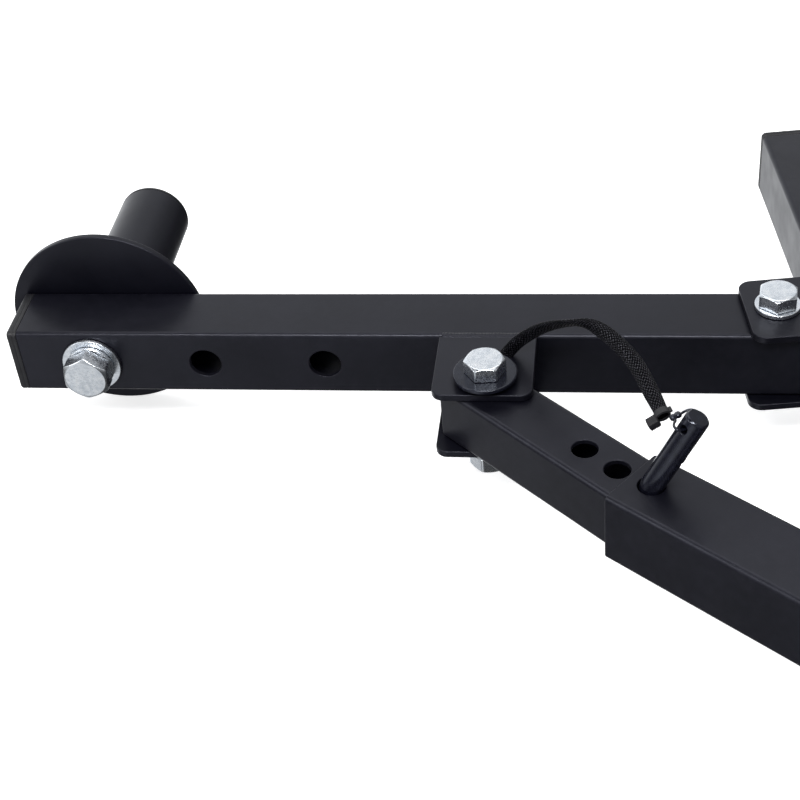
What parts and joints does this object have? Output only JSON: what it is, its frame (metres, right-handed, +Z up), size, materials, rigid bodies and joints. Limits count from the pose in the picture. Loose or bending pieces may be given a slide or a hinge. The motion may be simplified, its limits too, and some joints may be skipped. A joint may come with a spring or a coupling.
{
  "type": "swing-out peg arm on a drawbar",
  "caption": "Square-tube arm with a flanged round peg, pivoted on a drawbar between plates and held by a telescopic brace with a bent locking pin on a lanyard.",
  "frame": {"origin": "on the drawbar's outer side face, level with the arm's pivot, at mid height of the square tubes", "axes": "+X out of the drawbar's outer side; +Z up along the arm's pivot axis; the drawbar runs along Y; +Y to the rear, the way the peg points; the arm runs towards -X"},
  "size_m": [0.6158, 0.5826, 0.153],
  "materials": {
    "black_coat": "satin black powder coat",
    "zinc": "bright zinc plate",
    "black_oxide": "gloss black oxide and oil",
    "black_plastic": "fine-grained black plastic",
    "braid": "black woven polyester sleeve"
  },
  "bodies": {
    "drawbar": {"arm_bracket_bolt": "zinc", "arm_bracket_lower_plate": "black_coat", "arm_bracket_lower_washer": "zinc", "arm_bracket_lower_weld": "black_coat", "arm_bracket_nut": "zinc", "arm_bracket_upper_plate": "black_coat", "arm_bracket_upper_washer": "zinc", "arm_bracket_upper_weld": "black_coat", "drawbar_front_cap": "black_plastic", "drawbar_rear_cap": "black_plastic", "drawbar_tube": "black_coat", "foot_bracket_bolt": "zinc", "foot_bracket_lower_plate": "black_coat", "foot_bracket_lower_washer": "zinc", "foot_bracket_lower_weld": "black_coat", "foot_bracket_nut": "zinc", "foot_bracket_upper_plate": "black_coat", "foot_bracket_upper_washer": "zinc", "foot_bracket_upper_weld": "black_coat"},
    "arm": {"arm_end_cap": "black_plastic", "arm_pivot_bush": "zinc", "arm_tube": "black_coat", "clevis_bolt": "zinc", "clevis_lower_plate": "black_coat", "clevis_lower_washer": "zinc", "clevis_lower_weld": "black_coat", "clevis_nut": "zinc", "clevis_upper_plate": "black_coat", "clevis_upper_weld": "black_coat", "clevis_wide_washer": "black_oxide", "peg_bolt": "zinc", "peg_end_cap": "black_plastic", "peg_flange": "black_coat", "peg_flat_washer": "zinc", "peg_nut": "zinc", "peg_spring_washer": "zinc", "peg_tube": "black_coat", "peg_weld": "black_coat"},
    "brace": {"brace_inner_tube": "black_coat", "brace_outer_tube": "black_coat", "brace_pivot_bush": "zinc", "lanyard_cord": "braid", "lanyard_eye": "braid"},
    "pin": {"cable_tie": "black_plastic", "locking_pin": "black_oxide", "pin_wire_loop": "black_oxide"}
  },
  "joints": [
    {"name": "arm_swing", "type": "hinge", "parent": "drawbar", "child": "arm", "pos_m": [-0.0866, 0, 0], "axis": [0, 0, 1], "range_deg": [-82, 0]},
    {"name": "brace_fold", "type": "hinge", "parent": "arm", "child": "brace", "pos_m": [-0.28228, -0.04723, 0], "axis": [0, 0, 1], "range_deg": [-137, 0]},
    {"name": "pin_lift", "type": "slide", "parent": "brace", "child": "pin", "axis": [0, 0, 1], "range_m": [0, 0.065], "deforming": ["lanyard_cord"]}
  ]
}
